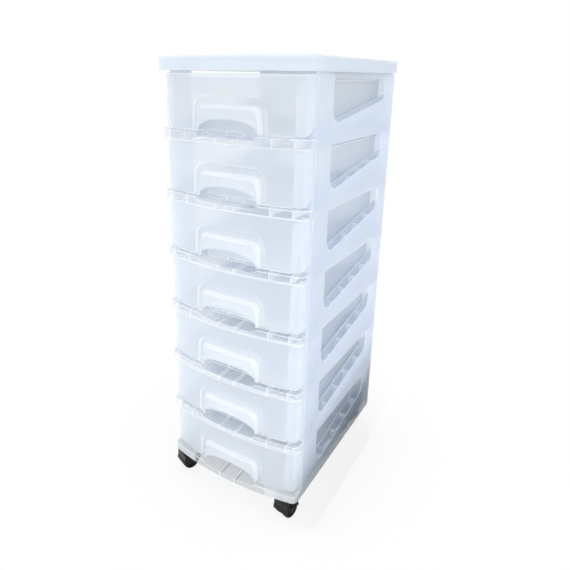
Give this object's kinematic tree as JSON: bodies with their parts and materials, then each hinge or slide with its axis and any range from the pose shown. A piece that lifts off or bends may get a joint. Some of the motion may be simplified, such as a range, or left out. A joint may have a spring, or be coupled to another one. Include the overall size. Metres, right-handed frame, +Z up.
{
  "type": "drawer tower",
  "caption": "Tall narrow storage tower of clear plastic: stacked frames with bowed shelf ledges, sliding drawers with arched grips, a flat cover and hooded twin-wheel castors.",
  "frame": {"origin": "on the floor under the middle of the tower's bounding box, where the castors' wheels touch down", "axes": "+Z up; the drawers face and open towards -Y; +X is to the right as the drawers are faced"},
  "size_m": [0.307, 0.418, 0.8695],
  "materials": {
    "clear_body": "gloss",
    "clear_drawer": "gloss",
    "black_plastic": "gloss",
    "black_wheel": "satin",
    "steel": "satin"
  },
  "bodies": {
    "tower": {"top_cover": "clear_body", "frame_1": "clear_body", "frame_2": "clear_body", "frame_3": "clear_body", "frame_4": "clear_body", "frame_5": "clear_body", "frame_6": "clear_body", "frame_7": "clear_body", "front_left_stem": "steel", "front_right_stem": "steel", "rear_left_stem": "steel", "rear_right_stem": "steel"},
    "drawer_body_1": {"drawer_1": "clear_drawer"},
    "drawer_body_2": {"drawer_2": "clear_drawer"},
    "drawer_body_3": {"drawer_3": "clear_drawer"},
    "drawer_body_4": {"drawer_4": "clear_drawer"},
    "drawer_body_5": {"drawer_5": "clear_drawer"},
    "drawer_body_6": {"drawer_6": "clear_drawer"},
    "drawer_body_7": {"drawer_7": "clear_drawer"},
    "front_left_castor": {"front_left_hood": "black_plastic", "front_left_axle": "steel"},
    "front_left_wheel_1_body": {"front_left_wheel_1": "black_wheel"},
    "front_left_wheel_2_body": {"front_left_wheel_2": "black_wheel"},
    "front_right_castor": {"front_right_hood": "black_plastic", "front_right_axle": "steel"},
    "front_right_wheel_1_body": {"front_right_wheel_1": "black_wheel"},
    "front_right_wheel_2_body": {"front_right_wheel_2": "black_wheel"},
    "rear_left_castor": {"rear_left_hood": "black_plastic", "rear_left_axle": "steel"},
    "rear_left_wheel_1_body": {"rear_left_wheel_1": "black_wheel"},
    "rear_left_wheel_2_body": {"rear_left_wheel_2": "black_wheel"},
    "rear_right_castor": {"rear_right_hood": "black_plastic", "rear_right_axle": "steel"},
    "rear_right_wheel_1_body": {"rear_right_wheel_1": "black_wheel"},
    "rear_right_wheel_2_body": {"rear_right_wheel_2": "black_wheel"}
  },
  "joints": [
    {"name": "drawer_slide_1", "type": "slide", "parent": "tower", "child": "drawer_body_1", "axis": [0, -1, 0], "range_m": [0, 0.3]},
    {"name": "drawer_slide_2", "type": "slide", "parent": "tower", "child": "drawer_body_2", "axis": [0, -1, 0], "range_m": [0, 0.3]},
    {"name": "drawer_slide_3", "type": "slide", "parent": "tower", "child": "drawer_body_3", "axis": [0, -1, 0], "range_m": [0, 0.3]},
    {"name": "drawer_slide_4", "type": "slide", "parent": "tower", "child": "drawer_body_4", "axis": [0, -1, 0], "range_m": [0, 0.3]},
    {"name": "drawer_slide_5", "type": "slide", "parent": "tower", "child": "drawer_body_5", "axis": [0, -1, 0], "range_m": [0, 0.3]},
    {"name": "drawer_slide_6", "type": "slide", "parent": "tower", "child": "drawer_body_6", "axis": [0, -1, 0], "range_m": [0, 0.3]},
    {"name": "drawer_slide_7", "type": "slide", "parent": "tower", "child": "drawer_body_7", "axis": [0, -1, 0], "range_m": [0, 0.3]},
    {"name": "front_left_swivel", "type": "hinge", "parent": "tower", "child": "front_left_castor", "pos_m": [-0.124, -0.1565, 0.04], "axis": [0, 0, 1], "continuous": true},
    {"name": "front_left_wheel_1_spin", "type": "hinge", "parent": "front_left_castor", "child": "front_left_wheel_1_body", "pos_m": [-0.12943, -0.16994, 0.0175], "axis": [0.9272, -0.3746, 0], "continuous": true},
    {"name": "front_left_wheel_2_spin", "type": "hinge", "parent": "front_left_castor", "child": "front_left_wheel_2_body", "pos_m": [-0.12943, -0.16994, 0.0175], "axis": [0.9272, -0.3746, 0], "continuous": true},
    {"name": "front_right_swivel", "type": "hinge", "parent": "tower", "child": "front_right_castor", "pos_m": [0.124, -0.1565, 0.04], "axis": [0, 0, 1], "continuous": true},
    {"name": "front_right_wheel_1_spin", "type": "hinge", "parent": "front_right_castor", "child": "front_right_wheel_1_body", "pos_m": [0.12099, -0.17068, 0.0175], "axis": [0.9781, -0.2079, 0], "continuous": true},
    {"name": "front_right_wheel_2_spin", "type": "hinge", "parent": "front_right_castor", "child": "front_right_wheel_2_body", "pos_m": [0.12099, -0.17068, 0.0175], "axis": [0.9781, -0.2079, 0], "continuous": true},
    {"name": "rear_left_swivel", "type": "hinge", "parent": "tower", "child": "rear_left_castor", "pos_m": [-0.124, 0.1755, 0.04], "axis": [0, 0, 1], "continuous": true},
    {"name": "rear_left_wheel_1_spin", "type": "hinge", "parent": "rear_left_castor", "child": "rear_left_wheel_1_body", "pos_m": [-0.1095, 0.1755, 0.0175], "axis": [0, 1, 0], "continuous": true},
    {"name": "rear_left_wheel_2_spin", "type": "hinge", "parent": "rear_left_castor", "child": "rear_left_wheel_2_body", "pos_m": [-0.1095, 0.1755, 0.0175], "axis": [0, 1, 0], "continuous": true},
    {"name": "rear_right_swivel", "type": "hinge", "parent": "tower", "child": "rear_right_castor", "pos_m": [0.124, 0.1755, 0.04], "axis": [0, 0, 1], "continuous": true},
    {"name": "rear_right_wheel_1_spin", "type": "hinge", "parent": "rear_right_castor", "child": "rear_right_wheel_1_body", "pos_m": [0.1095, 0.1755, 0.0175], "axis": [0, -1, 0], "continuous": true},
    {"name": "rear_right_wheel_2_spin", "type": "hinge", "parent": "rear_right_castor", "child": "rear_right_wheel_2_body", "pos_m": [0.1095, 0.1755, 0.0175], "axis": [0, -1, 0], "continuous": true}
  ]
}
